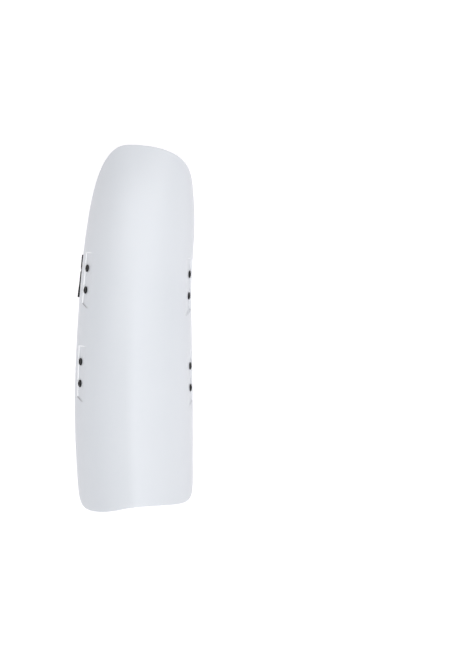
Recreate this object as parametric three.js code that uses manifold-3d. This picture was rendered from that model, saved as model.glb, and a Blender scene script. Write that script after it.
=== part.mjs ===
// Ski racing shin guard for one leg: a white moulded shell with four strap pockets, eight black rivets,
// and two elastic straps that close with hook patches on short tabs. It lies on its open side, front up.
// Millimetres. +X is to the right seen from the front, +Y runs up the leg to the knee, +Z is the front.
// The origin is under the middle of the bounding box, on the surface that the guard lies on.
import * as THREE from "three";
import { mergeVertices } from "three/addons/utils/BufferGeometryUtils.js";
import Module from "manifold-3d";

const wasm = await Module();
wasm.setup();

// Shell
const guardLength = 381;
const guardWidth = 126.8;
const guardDepth = 64;
const wallThickness = 3.2;
const ridgeHeight = 4;
const ridgeHalfWidth = 14;
const pieceGap = 0.3;

// Straps, tabs and hook patches
const strapWidth = 45;
const strapThickness = 1.8;
const strapPastRivets = 8;
const strapBend = 8;
const strapBendFullness = 0.6;
const tabFlatLength = 44;
const hookPatchThickness = 0.8;
const hookPatchLength = 38;
const hookPatchWidth = 41;
const hookPatchInset = 3;
const hookPatchCorner = 3;

// Strap pockets in the shell's outer face, measured from the middle of the two rivets
const pocketDepth = 1.5;
const pocketAboveRivets = 27.2;
const pocketBelowRivets = 24.8;
const pocketBehindRivets = 4.6;
const pocketAheadOfRivets = 14;
const pocketTopSlant = 1.5;
const pocketBottomSlant = 8;
const pocketDraftDeg = 35;
const pocketTiltDeg = 1;

// Rivets
const rivetPitch = 22.8;
const rivetHeadRadius = 3.9;
const rivetHeadHeight = 1.3;
const rivetHeadSide = 0.4;
const rivetHeadRounding = 0.8;
const rivetDimpleRadius = 2;
const rivetDimpleFloorRadius = 1.2;
const rivetDimpleDepth = 0.5;
const rivetShankRadius = 1.9;
const rivetBackRadius = 4.3;
const rivetBackHeight = 0.9;
const rivetBackRounding = 0.6;
const rivetHoleClearance = 0.3;

// along: the rivets' middle as a share of the half length. turn: their share of the way from crest to rim
const pockets = {
  upper_left: { side: -1, along: 0.2656, turn: 0.695 },
  upper_right: { side: 1, along: 0.2346, turn: 0.872 },
  lower_left: { side: -1, along: -0.2462, turn: 0.723 },
  lower_right: { side: 1, along: -0.2714, turn: 0.881 },
};

// slantDeg: how far the strap climbs to the left. endProud: how far its free end stands out of the left rim
const straps = {
  upper: { slantDeg: 5.3, endProud: 2.1 },
  lower: { slantDeg: 2.4, endProud: -4 },
};

// Shell sections, evenly spaced from the ankle end to the knee end. left, right and crest are shares of
// the half width, rise is a share of the depth, and ridge is a share of the ridge's height
const sections = [
  { left: 0.915, right: 0.975, crest: 0.03, rise: 0.99, ridge: 1 },
  { left: 0.962, right: 0.965, crest: 0.03, rise: 0.965, ridge: 1 },
  { left: 0.994, right: 0.965, crest: 0.02, rise: 0.945, ridge: 1 },
  { left: 1.003, right: 0.965, crest: 0.01, rise: 0.937, ridge: 1 },
  { left: 0.986, right: 0.957, crest: 0.01, rise: 0.937, ridge: 0.9 },
  { left: 0.955, right: 0.946, crest: 0.02, rise: 0.943, ridge: 0.7 },
  { left: 0.914, right: 0.933, crest: 0.03, rise: 0.95, ridge: 0.4 },
  { left: 0.862, right: 0.965, crest: 0.04, rise: 0.955, ridge: 0.15 },
  { left: 0.783, right: 1.01, crest: 0.05, rise: 0.93, ridge: 0 },
  { left: 0.67, right: 0.957, crest: 0.05, rise: 0.83, ridge: 0 },
  { left: 0.555, right: 0.93, crest: 0.04, rise: 0.53, ridge: 0 },
];

// The shell's two ends have rounded corners. drop is the share of the half length that a corner takes before
// it meets the side rim, and a higher bend keeps the end straight for longer. tip is the knee end's highest
// place, as a turn. The ankle end steps up by two times step, round the turn middle
const kneeEnd = {
  tip: -0.13,
  left: { drop: 0.51, bend: 2.2, roundness: 1.55 },
  right: { drop: 0.26, bend: 2.2, roundness: 1.55 },
};
const ankleEnd = {
  middle: -0.17,
  step: 0.021,
  skew: 5.3,
  left: { drop: 0.25, bend: 6, roundness: 1.6 },
  right: { drop: 0.185, bend: 7, roundness: 1.6 },
};

// Facets. Crowding draws the shell's facets to its rims and ends, from 0 for even to 1
const shellColumns = 34;
const shellRows = 38;
const rimCrowding = 0.4;
const endCrowding = 0.5;
const rivetSides = 12;
const hookPatchCornerSteps = 4;
const bandColumns = 4;
const wallStations = 6;
const bendStations = 6;
const strapFlatStations = 8;
const tabFlatStations = 4;

const halfLength = guardLength / 2;
const halfWidth = guardWidth / 2;
const quarterTurn = Math.PI / 2;
const { degToRad, lerp } = THREE.MathUtils;

// The strap's free end lies under the left rim, and the hook patch and the tab lie on it
const leftRimHeight = strapThickness + pieceGap;
const rightRimHeight = 0;
const hookPatchHeight = strapThickness + pieceGap;
const tabHeight = hookPatchHeight + hookPatchThickness + pieceGap;

// A smooth value of one table column: a uniform cubic B-spline over the evenly spaced rows
function columnAt(column, y) {
  const last = sections.length - 1;
  const place = (y / guardLength + 0.5) * last;
  const base = Math.min(Math.max(Math.floor(place), 0), last - 1);
  const f = place - base;
  const value = (i) => {
    if (i < 0) return 2 * sections[0][column] - sections[1][column];
    if (i > last) return 2 * sections[last][column] - sections[last - 1][column];
    return sections[i][column];
  };
  const weights = [
    (1 - f) ** 3,
    3 * f ** 3 - 6 * f ** 2 + 4,
    -3 * f ** 3 + 3 * f ** 2 + 3 * f + 1,
    f ** 3,
  ];
  return weights.reduce((sum, weight, k) => sum + weight * value(base - 1 + k), 0) / 6;
}

// A point on the shell's outer face. turn runs from -1 at the left rim, over 0 at the crest, to 1 at the
// right rim
function outerPoint(turn, y) {
  const angle = turn * quarterTurn;
  const crestX = columnAt("crest", y) * halfWidth;
  const reach = turn < 0
    ? columnAt("left", y) * halfWidth + crestX
    : columnAt("right", y) * halfWidth - crestX;
  const rimHeight = lerp(rightRimHeight, leftRimHeight, (1 - Math.sin(angle)) / 2);
  const across = Math.sin(angle) * reach;
  const rise = columnAt("rise", y) * guardDepth - rimHeight;
  const ridgeFade = Math.cos(angle) ** 2 / (1 + (across / ridgeHalfWidth) ** 2);
  const ridge = columnAt("ridge", y) * ridgeHeight * ridgeFade;
  return new THREE.Vector3(crestX + across, y, rimHeight + rise * Math.cos(angle) + ridge);
}

// The outer face's directions at a point: along the turn, up the leg, and out
function outerDirections(turn, y) {
  const step = 1e-3;
  const across = outerPoint(turn + step, y).sub(outerPoint(turn - step, y)).divideScalar(2 * step);
  const up = outerPoint(turn, y + 1).sub(outerPoint(turn, y - 1)).normalize();
  const out = new THREE.Vector3().crossVectors(across, up).normalize();
  return { across, up, out };
}

// A point inside the outer face by some depth, measured along the normal
function insidePoint(turn, y, depth) {
  return outerPoint(turn, y).addScaledVector(outerDirections(turn, y).out, -depth);
}

// How far a rounded corner has dropped. share is 0 in the middle of an end and 1 at the side rim
function cornerDrop(share, { drop, bend, roundness }) {
  const q = Math.min(Math.abs(share), 1);
  return drop * (1 - (1 - q ** bend) ** (1 / roundness));
}

function kneeEndY(turn) {
  const { tip, left, right } = kneeEnd;
  const drop = turn < tip
    ? cornerDrop((tip - turn) / (1 + tip), left)
    : cornerDrop((turn - tip) / (1 - tip), right);
  return halfLength * (1 - drop);
}

function ankleEndY(turn) {
  const { middle, step, skew, left, right } = ankleEnd;
  const drop = cornerDrop(turn, turn < 0 ? left : right);
  return halfLength * (step * (1 + Math.tanh(skew * (turn - middle))) + drop - 1);
}

// Closes two matching grids of points, an outer and an inner face, into one body
function slabGeometry(outer, inner) {
  const columns = outer.length;
  const rows = outer[0].length;
  const at = (i, j, layer) => (layer * columns + i) * rows + j;
  const faces = [];
  const quad = (a, b, c, d) => faces.push(a, b, c, a, c, d);
  for (let i = 0; i < columns - 1; i++) {
    for (let j = 0; j < rows - 1; j++) {
      quad(at(i, j, 0), at(i + 1, j, 0), at(i + 1, j + 1, 0), at(i, j + 1, 0));
      quad(at(i, j, 1), at(i, j + 1, 1), at(i + 1, j + 1, 1), at(i + 1, j, 1));
    }
    quad(at(i, 0, 0), at(i, 0, 1), at(i + 1, 0, 1), at(i + 1, 0, 0));
    quad(at(i, rows - 1, 0), at(i + 1, rows - 1, 0), at(i + 1, rows - 1, 1), at(i, rows - 1, 1));
  }
  for (let j = 0; j < rows - 1; j++) {
    const end = columns - 1;
    quad(at(0, j, 0), at(0, j + 1, 0), at(0, j + 1, 1), at(0, j, 1));
    quad(at(end, j, 0), at(end, j, 1), at(end, j + 1, 1), at(end, j + 1, 0));
  }
  const geometry = new THREE.BufferGeometry().setFromPoints([...outer.flat(), ...inner.flat()]);
  geometry.setIndex(faces);
  return geometry;
}

// A closed geometry as a solid that can be joined and cut
function solidOf(geometry) {
  const bare = geometry.clone();
  bare.deleteAttribute("normal");
  bare.deleteAttribute("uv");
  const merged = mergeVertices(bare);
  return new wasm.Manifold(new wasm.Mesh({
    numProp: 3,
    vertProperties: new Float32Array(merged.attributes.position.array),
    triVerts: new Uint32Array(merged.index.array),
  }));
}

function geometryOf(solid) {
  const mesh = solid.getMesh();
  const geometry = new THREE.BufferGeometry();
  geometry.setAttribute("position", new THREE.BufferAttribute(new Float32Array(mesh.vertProperties), 3));
  geometry.setIndex(new THREE.BufferAttribute(new Uint32Array(mesh.triVerts), 1));
  geometry.computeVertexNormals();
  return geometry;
}

// A pocket's frame. The origin is on its floor between the rivets, front points to the crest, up to the
// knee, and out along the rivets. The floor tilts back from the shell's face, so that the pocket runs out at
// the front
function pocketFrame({ side, along, turn }) {
  const y = along * halfLength;
  const { up, out } = outerDirections(side * turn, y);
  const origin = insidePoint(side * turn, y, pocketDepth);
  out.applyAxisAngle(up, side * degToRad(pocketTiltDeg));
  const front = new THREE.Vector3().crossVectors(up, out).multiplyScalar(-side);
  return { side, turn: side * turn, y, origin, front, up, out };
}

function placeIn(frame, front, up, out) {
  return frame.origin.clone()
    .addScaledVector(frame.front, front)
    .addScaledVector(frame.up, up)
    .addScaledVector(frame.out, out);
}

// The body that cuts a pocket: drafted sides on a flat floor, the lower side slanting down to the front
function pocketCutter(frame) {
  const corners = (height) => {
    const grow = height * Math.tan(degToRad(pocketDraftDeg));
    const back = -pocketBehindRivets - grow;
    const front = pocketAheadOfRivets + grow;
    const top = pocketAboveRivets + grow;
    const bottom = -pocketBelowRivets - grow;
    const grid = [
      [placeIn(frame, back, bottom, height), placeIn(frame, back, top, height)],
      [
        placeIn(frame, front, bottom - pocketBottomSlant, height),
        placeIn(frame, front, top - pocketTopSlant, height),
      ],
    ];
    return frame.side < 0 ? grid : grid.reverse();
  };
  const cutterHeight = 4 * pocketDepth;
  return solidOf(slabGeometry(corners(cutterHeight), corners(0)));
}

// A turned geometry set on one rivet's axis, with height 0 at the pocket's floor
function onRivet(frame, up, geometry) {
  const sideways = new THREE.Vector3().crossVectors(frame.front, frame.out);
  const placed = new THREE.Matrix4().makeBasis(frame.front, frame.out, sideways);
  placed.setPosition(placeIn(frame, 0, up, 0));
  return geometry.clone().applyMatrix4(placed);
}

const rivetPlaces = { top: rivetPitch / 2, bottom: -rivetPitch / 2 };

// Cuts the two rivet holes of a pocket through the shell, a strap or a tab
function drill(solid, frame) {
  const radius = rivetShankRadius + rivetHoleClearance;
  const length = 2 * (wallThickness + strapThickness + rivetBackRadius);
  const hole = new THREE.CylinderGeometry(radius, radius, length, rivetSides);
  const cut = (rest, up) => rest.subtract(solidOf(onRivet(frame, up, hole)));
  return Object.values(rivetPlaces).reduce(cut, solid);
}

// Shell: an outer and an inner face, with the pockets and the rivet holes cut
function shellGeometry(frames) {
  const face = (depth) => {
    const grid = [];
    for (let i = 0; i <= shellColumns; i++) {
      const u = (i / shellColumns) * 2 - 1;
      const turn = lerp(u, Math.sin(u * quarterTurn), rimCrowding);
      const line = [];
      for (let j = 0; j <= shellRows; j++) {
        const v = j / shellRows;
        const along = lerp(v, (1 - Math.cos(v * Math.PI)) / 2, endCrowding);
        line.push(insidePoint(turn, lerp(ankleEndY(turn), kneeEndY(turn), along), depth));
      }
      grid.push(line);
    }
    return grid;
  };
  let solid = solidOf(slabGeometry(face(0), face(wallThickness)));
  for (const frame of frames) solid = drill(solid.subtract(pocketCutter(frame)), frame);
  return geometryOf(solid);
}

// Rivet: a pan head with a dimple, a shank through shell and strap, and a flat back. Height 0 is the
// pocket's floor. The back clears the strap's face, which leans and is hollow under it
function rivetGeometry() {
  const headTop = pieceGap + rivetHeadHeight;
  const strapFace = pocketDepth - wallThickness - pieceGap - strapThickness;
  const strapLean = rivetBackRadius * Math.tan(degToRad(pocketTiltDeg));
  const strapHollow = rivetBackRadius ** 2 / guardWidth;
  const backTop = strapFace - pieceGap - strapLean - strapHollow;
  const backBottom = backTop - rivetBackHeight;
  const profile = [
    [0, backBottom],
    [rivetBackRadius - rivetBackRounding, backBottom],
    [rivetBackRadius, backBottom + rivetBackRounding],
    [rivetBackRadius, backTop],
    [rivetShankRadius, backTop],
    [rivetShankRadius, pieceGap],
    [rivetHeadRadius, pieceGap],
    [rivetHeadRadius, pieceGap + rivetHeadSide],
    [rivetHeadRadius - rivetHeadRounding, headTop],
    [rivetDimpleRadius, headTop],
    [rivetDimpleFloorRadius, headTop - rivetDimpleDepth],
    [0, headTop - rivetDimpleDepth],
  ];
  return new THREE.LatheGeometry(profile.map(([r, h]) => new THREE.Vector2(r, h)), rivetSides);
}

// Gives a grid of centre points its thickness, and closes it
function bandGeometry(centres, thickness) {
  const last = centres.length - 1;
  const lastAcross = centres[0].length - 1;
  const offset = (distance) => centres.map((line, i) => line.map((point, j) => {
    const along = centres[Math.min(i + 1, last)][j].clone().sub(centres[Math.max(i - 1, 0)][j]);
    const across = line[Math.min(j + 1, lastAcross)].clone().sub(line[Math.max(j - 1, 0)]);
    return point.clone().addScaledVector(along.cross(across).normalize(), distance);
  }));
  return slabGeometry(offset(thickness / 2), offset(-thickness / 2));
}

// A band's centre points from above the rivets down the shell's inner face to where it leaves the wall
function wallRun(frame, across, leaveHeight) {
  const depth = wallThickness + pieceGap + strapThickness / 2;
  const y = frame.y + across;
  const arcRate = outerDirections(frame.turn, y).across.length();
  const start = frame.turn - frame.side * strapPastRivets / arcRate;
  const rise = columnAt("rise", y) * guardDepth;
  const end = frame.side * Math.acos(leaveHeight / rise) / quarterTurn;
  const points = [];
  for (let k = 0; k <= wallStations; k++) {
    points.push(insidePoint(lerp(start, end, k / wallStations), y, depth));
  }
  return points;
}

// The bend from the wall to a flat run: a cubic curve that leaves the last wall point along the wall
// and meets the flat run level
function bendRun(wall, flatEntry) {
  const leave = wall.at(-1);
  const reach = strapBend * strapBendFullness;
  const down = leave.clone().sub(wall.at(-2)).setLength(reach);
  const inwards = new THREE.Vector3(Math.sign(flatEntry.x - leave.x) * reach, 0, 0);
  const curve = new THREE.CubicBezierCurve3(
    leave,
    leave.clone().add(down),
    flatEntry.clone().sub(inwards),
    flatEntry,
  );
  return curve.getPoints(bendStations).slice(1);
}

// Builds a band from its centre lines. lineAt gives the line at a distance across the band's middle
function bandSolid(lineAt, side) {
  const lines = [];
  for (let j = 0; j <= bandColumns; j++) lines.push(lineAt((j / bandColumns - 0.5) * strapWidth));
  const centres = lines[0].map((_, i) => lines.map((line) => line[i]));
  return solidOf(bandGeometry(side < 0 ? centres : centres.reverse(), strapThickness));
}

// A strap's flat run: where it starts beside the right wall, and its free end at the left rim
function strapFlat(frames, { endProud, slantDeg }) {
  const climb = Math.tan(degToRad(slantDeg));
  const leave = wallRun(frames.right, 0, strapBend).at(-1);
  const start = new THREE.Vector3(leave.x - strapBend, leave.y, strapThickness / 2);
  const rimX = outerPoint(-1, start.y + (start.x + halfWidth) * climb).x;
  const end = start.clone();
  end.x = rimX - endProud;
  end.y += (start.x - end.x) * climb;
  return { start, end };
}

// Strap: from the right rivets down the wall and along the surface to the left rim
function strapGeometry(frames, strap) {
  const { start, end } = strapFlat(frames, strap);
  const solid = bandSolid((across) => {
    const wall = wallRun(frames.right, across, strapBend);
    const flatEntry = new THREE.Vector3(wall.at(-1).x - strapBend, wall.at(-1).y, start.z);
    const points = [...wall, ...bendRun(wall, flatEntry)];
    for (let k = 1; k <= strapFlatStations; k++) {
      const share = k / strapFlatStations;
      const turned = degToRad(strap.slantDeg) * Math.sin(share * quarterTurn);
      const point = start.clone().lerp(end, share);
      point.x += Math.sin(turned) * across + (flatEntry.x - start.x) * (1 - share);
      point.y += Math.cos(turned) * across;
      points.push(point);
    }
    return points;
  }, 1);
  return geometryOf(drill(solid, frames.right));
}

// Tab: from the left rivets down the wall, then flat over the hook patch
function tabGeometry(frames) {
  const solid = bandSolid((across) => {
    const wall = wallRun(frames.left, across, tabHeight + strapBend);
    const flatEntry = new THREE.Vector3(
      wall.at(-1).x + strapBend,
      wall.at(-1).y,
      tabHeight + strapThickness / 2,
    );
    const points = [...wall, ...bendRun(wall, flatEntry)];
    for (let k = 1; k <= tabFlatStations; k++) {
      const point = flatEntry.clone();
      point.x += tabFlatLength * k / tabFlatStations;
      points.push(point);
    }
    return points;
  }, -1);
  return geometryOf(drill(solid, frames.left));
}

// Hook patch: a thin rounded plate on the strap's free end, under the tab
function hookPatchMesh(frames, strap) {
  const { end } = strapFlat(frames, strap);
  const outline = new THREE.Shape();
  for (const [quarter, sideX, sideY] of [[0, 1, 1], [1, -1, 1], [2, -1, -1], [3, 1, -1]]) {
    const cornerX = sideX * (hookPatchLength / 2 - hookPatchCorner);
    const cornerY = sideY * (hookPatchWidth / 2 - hookPatchCorner);
    outline.absarc(cornerX, cornerY, hookPatchCorner, quarter * quarterTurn, (quarter + 1) * quarterTurn);
  }
  const geometry = new THREE.ExtrudeGeometry(outline, {
    depth: hookPatchThickness,
    bevelEnabled: false,
    curveSegments: hookPatchCornerSteps,
  });
  const mesh = new THREE.Mesh(geometry, hookBlack);
  const slant = degToRad(strap.slantDeg);
  const clearOfTab = strap.endProud + wallThickness + pieceGap + strapBend;
  const inset = clearOfTab + hookPatchInset + hookPatchLength / 2;
  mesh.rotation.z = -slant;
  mesh.position.set(end.x + inset * Math.cos(slant), end.y - inset * Math.sin(slant), hookPatchHeight);
  return mesh;
}

const shellWhite = new THREE.MeshStandardMaterial({ color: 0xe6eaef, roughness: 0.45, metalness: 0 });
const rivetBlack = new THREE.MeshStandardMaterial({ color: 0x1b1b1d, roughness: 0.35, metalness: 0.4 });
const elasticBlack = new THREE.MeshStandardMaterial({ color: 0x1d1d20, roughness: 0.95, metalness: 0 });
const hookBlack = new THREE.MeshStandardMaterial({ color: 0x141416, roughness: 0.8, metalness: 0 });

function named(name, mesh) {
  mesh.name = name;
  return mesh;
}

const frames = {};
for (const [pocketName, pocket] of Object.entries(pockets)) frames[pocketName] = pocketFrame(pocket);

const guard = new THREE.Group();
guard.add(named("shell", new THREE.Mesh(shellGeometry(Object.values(frames)), shellWhite)));

const rivet = rivetGeometry();
for (const [pocketName, frame] of Object.entries(frames)) {
  for (const [placeName, up] of Object.entries(rivetPlaces)) {
    const mesh = new THREE.Mesh(onRivet(frame, up, rivet), rivetBlack);
    guard.add(named(`rivet_${pocketName}_${placeName}`, mesh));
  }
}

for (const [level, strap] of Object.entries(straps)) {
  const pair = { left: frames[`${level}_left`], right: frames[`${level}_right`] };
  guard.add(named(`strap_${level}`, new THREE.Mesh(strapGeometry(pair, strap), elasticBlack)));
  guard.add(named(`tab_${level}`, new THREE.Mesh(tabGeometry(pair), elasticBlack)));
  guard.add(named(`hook_patch_${level}`, hookPatchMesh(pair, strap)));
}

export default guard;
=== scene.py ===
import math
import bmesh
import bpy
import numpy as np
from mathutils import Matrix, Vector


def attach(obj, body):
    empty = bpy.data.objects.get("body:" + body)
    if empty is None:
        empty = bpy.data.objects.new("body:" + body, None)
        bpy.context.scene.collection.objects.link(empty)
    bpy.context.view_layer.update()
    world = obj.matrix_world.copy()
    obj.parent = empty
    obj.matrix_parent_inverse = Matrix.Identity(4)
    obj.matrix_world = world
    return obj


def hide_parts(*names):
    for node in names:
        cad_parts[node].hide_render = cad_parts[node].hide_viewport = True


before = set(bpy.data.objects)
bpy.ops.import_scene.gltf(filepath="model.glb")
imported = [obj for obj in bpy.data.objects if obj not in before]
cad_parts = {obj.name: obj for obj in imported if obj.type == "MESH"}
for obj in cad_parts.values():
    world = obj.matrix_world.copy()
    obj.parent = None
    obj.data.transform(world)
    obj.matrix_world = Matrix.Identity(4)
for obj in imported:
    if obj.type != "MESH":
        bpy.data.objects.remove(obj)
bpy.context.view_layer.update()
print("frame loaded:", len(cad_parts), "nodes")

# Everything is in metres. +X is to the right seen from the front, +Y runs up the leg, +Z is the front
quarterTurn = math.pi / 2
gap = 0.0003  # what the pieces keep between them

# Shell

shell = {
    "length": 0.381,
    "width": 0.1268,
    "depth": 0.064,
    "wall": 0.0032,
    "ridgeHeight": 0.004,
    "ridgeHalfWidth": 0.014,
    "leftRimHeight": 0.0021,  # the left rim lies over the straps' free ends
    "kneeTrim": 0.0003,  # how far each end goes past the nominal length
    "ankleTrim": 0.0007,
    "rimRounding": 0.0009,
    "rimSquareness": 0.6,  # 1 is a half round rim, 0 a square one
    "rimSteps": 8,
    "sideArc": 0.096,  # about what one side measures from crest to rim
    "columnStep": 0.00014,  # at the pockets' back walls
    "columnBand": 0.0011,  # how far the fine columns reach from a back wall
    "columnGrowth": 0.13,
    "rowStep": 0.00025,  # at the pockets' lower and upper ends
    "rowReach": {"lower": (0.0012, 0.0008), "upper": (0.002, 0.0016)},  # below and above those ends
    "rowGrowth": 0.2,
    "coarseStep": 0.0032,
    "rimBand": 0.03,  # the last turn before the rim, with columns that crowd to it
    "rimColumns": 8,
    "rimCrowding": 2.2,
    "straight": (-0.09, 0.083),  # rows between these keep their place, the others spread to the ends
    "turnSamples": 8001,
}

# Sections, evenly spaced from the ankle end to the knee end, as shares of the shell's sizes
sections = [
    {"left": 0.915, "right": 0.975, "crest": 0.07, "rise": 0.99, "ridge": 1},
    {"left": 0.962, "right": 0.965, "crest": 0.045, "rise": 0.965, "ridge": 1},
    {"left": 0.994, "right": 0.965, "crest": 0.02, "rise": 0.945, "ridge": 1},
    {"left": 1.003, "right": 0.965, "crest": 0.01, "rise": 0.937, "ridge": 1},
    {"left": 0.986, "right": 0.957, "crest": 0.01, "rise": 0.937, "ridge": 0.9},
    {"left": 0.955, "right": 0.946, "crest": 0.02, "rise": 0.943, "ridge": 0.7},
    {"left": 0.914, "right": 0.933, "crest": 0.03, "rise": 0.95, "ridge": 0.4},
    {"left": 0.862, "right": 0.965, "crest": 0.04, "rise": 0.955, "ridge": 0.15},
    {"left": 0.783, "right": 1.01, "crest": 0.05, "rise": 0.93, "ridge": 0},
    {"left": 0.67, "right": 0.957, "crest": 0.05, "rise": 0.83, "ridge": 0},
    {"left": 0.555, "right": 0.93, "crest": 0.04, "rise": 0.53, "ridge": 0},
]

kneeEnd = {"tip": -0.13, "left": (0.51, 2.2, 1.55), "right": (0.26, 2.2, 1.55)}  # drop, bend, roundness
ankleEnd = {"middle": -0.17, "step": 0.021, "skew": 5.3, "left": (0.25, 6, 1.6), "right": (0.185, 7, 1.6)}

pocket = {
    "depth": 0.0015,
    "above": 0.0272,  # the edges' distances from the middle of the two rivets
    "below": 0.0248,
    "behind": 0.0046,
    "ahead": 0.014,
    "topSlant": 0.0002,
    "bottomSlant": 0.008,
    "draft": math.radians(35),
    "topDraft": math.radians(43),
    "tilt": math.radians(1),
    "cornerRounding": 0.0011,
    "floorFillet": 0.0004,
    "edgeRounding": 0.0003,
    "rightPaintedShading": 0.4,  # how strongly the right side's walls take the painted highlight and shade, next to the left side's
    "paintedShadingDepth": 0.0004,  # walls lower than this get less painted highlight and shade
}

pocketPlaces = {
    "upperLeft": {"side": -1, "along": 0.2656, "turn": 0.695},
    "upperRight": {"side": 1, "along": 0.2346, "turn": 0.872},
    "lowerLeft": {"side": -1, "along": -0.2462, "turn": 0.723},
    "lowerRight": {"side": 1, "along": -0.2714, "turn": 0.881},
}


def columnAt(column, y):  # one column of the sections as a smooth cubic curve along the shell
    values = np.array([row[column] for row in sections], float)
    padded = np.concatenate([[2 * values[0] - values[1]], values, [2 * values[-1] - values[-2]]])
    last = len(values) - 1
    place = (y / shell["length"] + 0.5) * last
    base = np.clip(np.floor(place).astype(int), 0, last - 1)
    f = place - base
    weights = ((1 - f) ** 3, 3 * f ** 3 - 6 * f ** 2 + 4, -3 * f ** 3 + 3 * f ** 2 + 3 * f + 1, f ** 3)
    return sum(weight * padded[base + k] for k, weight in enumerate(weights)) / 6


def outerPoint(turn, y):  # turn is -1 at the left rim, 0 at the crest and 1 at the right rim
    turn, y = np.broadcast_arrays(np.asarray(turn, float), np.asarray(y, float))
    angle = turn * quarterTurn
    halfWidth = shell["width"] / 2
    crestX = columnAt("crest", y) * halfWidth
    leftReach = columnAt("left", y) * halfWidth + crestX
    rightReach = columnAt("right", y) * halfWidth - crestX
    across = np.sin(angle) * np.where(turn < 0, leftReach, rightReach)
    rim = shell["leftRimHeight"] * (1 - np.sin(angle)) / 2
    rise = columnAt("rise", y) * shell["depth"] - rim
    ridge = columnAt("ridge", y) * shell["ridgeHeight"] * np.cos(angle) ** 2
    ridge = ridge / (1 + (across / shell["ridgeHalfWidth"]) ** 2)
    return np.stack([crestX + across, y, rim + rise * np.cos(angle) + ridge], -1)


def unit(vectors):
    return vectors / np.linalg.norm(vectors, axis=-1, keepdims=True)


def outerDirections(turn, y):
    step = 0.001
    across = (outerPoint(turn + step, y) - outerPoint(turn - step, y)) / (2 * step)
    up = unit(outerPoint(turn, y + step) - outerPoint(turn, y - step))
    return across, up, unit(np.cross(across, up))


def insidePoint(turn, y, depth):
    return outerPoint(turn, y) - outerDirections(turn, y)[2] * depth


def cornerDrop(share, corner):
    drop, bend, roundness = corner
    q = np.clip(share, 0, 1)
    return drop * (1 - (1 - q ** bend) ** (1 / roundness))


def kneeEndY(turn):
    tip = kneeEnd["tip"]
    left = cornerDrop((tip - turn) / (1 + tip), kneeEnd["left"])
    right = cornerDrop((turn - tip) / (1 - tip), kneeEnd["right"])
    return shell["length"] / 2 * (1 - left - right) + shell["kneeTrim"]


def ankleEndY(turn):
    drop = cornerDrop(-turn, ankleEnd["left"]) + cornerDrop(turn, ankleEnd["right"])
    climb = ankleEnd["step"] * (1 + np.tanh(ankleEnd["skew"] * (turn - ankleEnd["middle"])))
    return shell["length"] / 2 * (climb + drop - 1) - shell["ankleTrim"]


def pocketFrame(side, along, turn):
    y = along * shell["length"] / 2
    up, normal = outerDirections(side * turn, y)[1:]
    origin = insidePoint(side * turn, y, pocket["depth"])
    tilt = side * pocket["tilt"]
    out = normal * math.cos(tilt) + np.cross(up, normal) * math.sin(tilt)
    return {
        "side": side,
        "turn": side * turn,
        "y": y,
        "origin": origin,
        "up": up,
        "out": out,
        "front": np.cross(up, out) * -side,
    }


pocketFrames = {name: pocketFrame(**place) for name, place in pocketPlaces.items()}


def softMin(a, b, width):
    blend = np.maximum(width - np.abs(a - b), 0) / width
    return np.minimum(a, b) - blend ** 2 * width / 4


def softMax(a, b, width):
    return -softMin(-a, -b, width)


def recess(points, place):  # presses points down on the pocket's floor and walls, and marks the walls for a painted highlight and painted shade
    offset = points - place["origin"]
    ahead, up, out = (offset @ place[way] for way in ("front", "up", "out"))
    wallSlope = 1 / math.tan(pocket["draft"])
    forward = (ahead + pocket["behind"]) / (pocket["behind"] + pocket["ahead"])
    backWall = (-pocket["behind"] - ahead) * wallSlope
    topWall = (up - pocket["above"] + pocket["topSlant"] * forward) / math.tan(pocket["topDraft"])
    bottomWall = (-pocket["below"] - pocket["bottomSlant"] * forward - up) * wallSlope
    fillet = pocket["floorFillet"]
    litWall = softMax(backWall, topWall, pocket["cornerRounding"])
    height = softMax(litWall, softMax(bottomWall, 0 * out, fillet), fillet)
    pressed = softMin(out, height, pocket["edgeRounding"])
    deep = np.clip(out / pocket["paintedShadingDepth"] - 0.5, 0, 1)  # the painted highlight and shade fade where the pocket runs out
    paintedShading = []
    for wall in (litWall, bottomWall):
        onWall = np.clip(wall / fillet + 0.5, 0, 1) * np.clip((out - wall) / fillet + 0.5, 0, 1)
        paintedShading.append(onWall * deep * (1 if place["side"] < 0 else pocket["rightPaintedShading"]))
    paintedShading = np.where(bottomWall < litWall, paintedShading[0], -paintedShading[1])  # above 0 a painted highlight on the lit back and top walls, below 0 painted shade on the bottom walls
    return points - (out - pressed)[..., None] * place["out"], paintedShading


def gradedStops(start, end, fineRanges, fine, coarse, growth):
    stops = [start]
    while stops[-1] < end:
        away = min(max(low - stops[-1], stops[-1] - high, 0) for low, high in fineRanges)
        stops.append(stops[-1] + min(coarse, fine + growth * away))
    stops = np.array(stops)
    return start + (stops - start) * (end - start) / (stops[-1] - start)


def addObject(name, data):
    added = bpy.data.objects.new(name, data)
    bpy.context.scene.collection.objects.link(added)
    return added


def applyModifiers(piece):  # leaves a plain mesh
    depsgraph = bpy.context.evaluated_depsgraph_get()
    made = bpy.data.meshes.new_from_object(piece.evaluated_get(depsgraph), depsgraph=depsgraph)
    piece.modifiers.clear()
    piece.data = made
    made.name = piece.name


def standingOn(place, centre):  # the matrix that sets an upright shape on a pocket's floor
    sideways = np.cross(place["up"], place["out"])
    axes = np.stack([sideways, place["up"], place["out"]], 1)
    return Matrix.Translation(centre) @ Matrix([[*row, 0] for row in axes] + [[0, 0, 0, 1]])


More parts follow.
